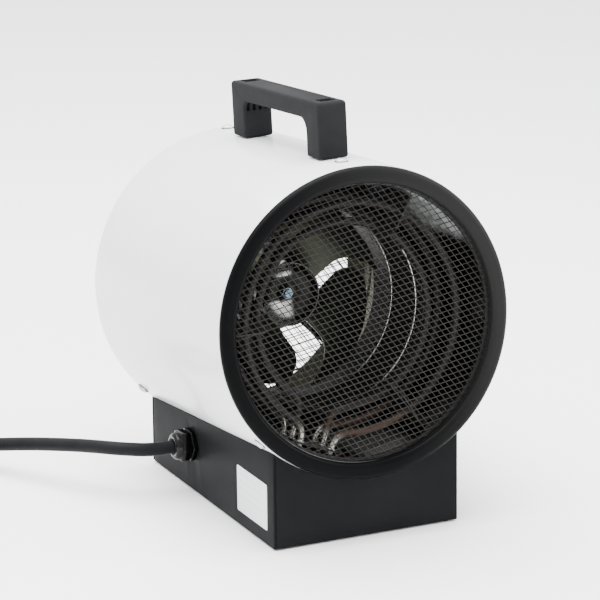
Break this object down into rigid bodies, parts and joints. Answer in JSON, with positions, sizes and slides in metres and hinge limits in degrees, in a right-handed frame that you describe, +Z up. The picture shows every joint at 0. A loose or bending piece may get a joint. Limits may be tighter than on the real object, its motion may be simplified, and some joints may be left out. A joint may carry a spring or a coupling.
{
  "type": "forced air heater",
  "caption": "Portable electric forced air heater: tilted round steel drum with mesh grille and carrying handle on a folded sheet-metal base, with cable gland and coiled mains cord.",
  "frame": {"origin": "on the floor under the middle of the heater, its cord not counted", "axes": "+Z up, the air outlet looks along -Y, +X to the right of someone who faces the outlet"},
  "size_m": [0.5096, 0.3515, 0.3334],
  "materials": {
    "white_enamel": "gloss",
    "black_enamel": "satin",
    "charcoal_enamel": "semi-matt",
    "handle_plastic": "moulded, matt",
    "black_plastic": "satin",
    "gland_plastic": "gloss",
    "shield_steel": "bright rolled",
    "dark_steel": "satin",
    "zinc": "zinc plated",
    "element_steel": "heat-tinted",
    "cast_alloy": "cast",
    "ceramic": "glazed",
    "rubber": "matt",
    "brass": "bright"
  },
  "bodies": {
    "chassis": {"air_duct": "dark_steel", "base_shell": "charcoal_enamel", "coil_tie": "black_plastic", "cord_coil": "rubber", "cord_lead": "rubber", "drum_casing": "white_enamel", "element_front": "element_steel", "element_middle": "element_steel", "element_plate_front": "zinc", "element_plate_middle": "zinc", "element_plate_rear": "zinc", "element_rear": "element_steel", "element_support_1": "zinc", "element_support_2": "zinc", "element_support_3": "zinc", "fan_shroud": "dark_steel", "floor_plate": "zinc", "foot_front_left": "rubber", "foot_front_right": "rubber", "foot_rear_left": "rubber", "foot_rear_right": "rubber", "front_bezel": "black_enamel", "front_net": "black_enamel", "gland_body": "gland_plastic", "gland_locknut": "gland_plastic", "gland_nut": "gland_plastic", "handle": "handle_plastic", "handle_screw_front": "zinc", "handle_screw_rear": "zinc", "heat_shield": "shield_steel", "motor": "cast_alloy", "motor_spider": "dark_steel", "plug_body": "rubber", "plug_pin_left": "brass", "plug_pin_right": "brass", "rear_net": "black_enamel", "rear_panel": "charcoal_enamel", "rear_ring": "white_enamel", "screw_left_front": "zinc", "screw_left_rear": "zinc", "screw_right_front": "zinc", "screw_right_rear": "zinc", "screw_top_front": "zinc", "screw_top_rear": "zinc", "selector_body": "black_plastic", "shield_spacer": "zinc", "terminal_block": "ceramic", "thermal_cutout": "ceramic", "thermostat_body": "black_plastic"},
    "fan_rotor": {"fan_impeller": "dark_steel", "fan_nut": "zinc", "motor_shaft": "zinc"},
    "selector": {"selector_knob": "black_plastic"},
    "thermostat": {"thermostat_knob": "black_plastic"}
  },
  "joints": [
    {"name": "fan_spin", "type": "hinge", "parent": "chassis", "child": "fan_rotor", "pos_m": [0, 0.01924, 0.15846], "axis": [0, 0.9956, -0.0941], "continuous": true},
    {"name": "selector_turn", "type": "hinge", "parent": "chassis", "child": "selector", "pos_m": [0.057, 0.11449, 0.0225], "axis": [0, 1, 0], "range_deg": [0, 135]},
    {"name": "thermostat_turn", "type": "hinge", "parent": "chassis", "child": "thermostat", "pos_m": [-0.057, 0.11449, 0.0225], "axis": [0, 1, 0], "range_deg": [0, 270]}
  ]
}
